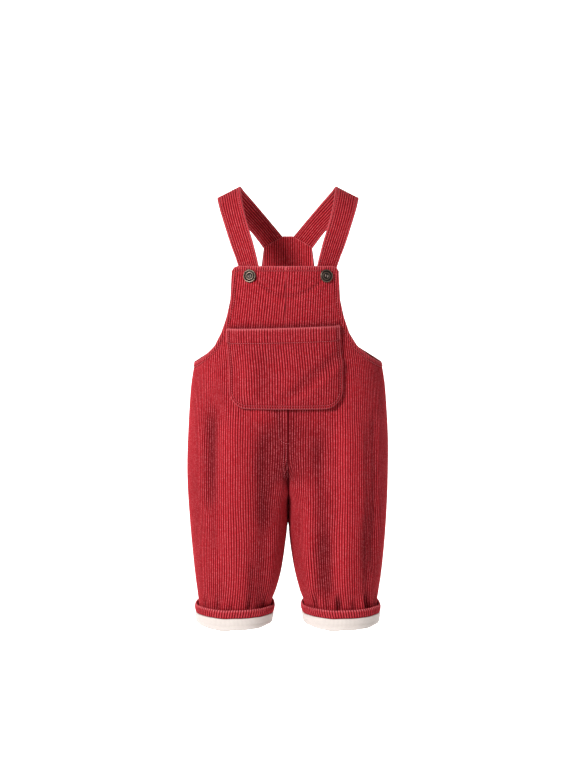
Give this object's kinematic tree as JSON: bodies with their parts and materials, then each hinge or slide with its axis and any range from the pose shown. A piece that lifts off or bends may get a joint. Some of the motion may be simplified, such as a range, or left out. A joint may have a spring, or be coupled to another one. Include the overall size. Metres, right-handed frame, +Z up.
{
  "type": "child's dungarees",
  "caption": "Child's corduroy dungarees with a bib, buttoned shoulder straps, a patch pocket on the front and lined, turned-up cuffs, in the filled-out shape they have when worn.",
  "frame": {"origin": "midway between the places where the two straps rest on the shoulders, at the underside of the straps", "axes": "+Z up along the standing body, -Y out of the front, +X towards the wearer's left"},
  "size_m": [0.2716, 0.1851, 0.591],
  "materials": {
    "corduroy": "wide-wale cotton corduroy, red",
    "lining": "soft cream knit",
    "button": "dark antique metal"
  },
  "bodies": {
    "root": {"front_left": "corduroy", "front_right": "corduroy", "back_left": "corduroy", "back_right": "corduroy", "strap_left": "corduroy", "strap_right": "corduroy", "cuff_band_left": "corduroy", "cuff_band_right": "corduroy", "pocket": "corduroy", "back_facing": "corduroy", "cuff_turn_up_left": "lining", "cuff_turn_up_right": "lining", "button_left": "button", "button_right": "button"}
  },
  "joints": []
}
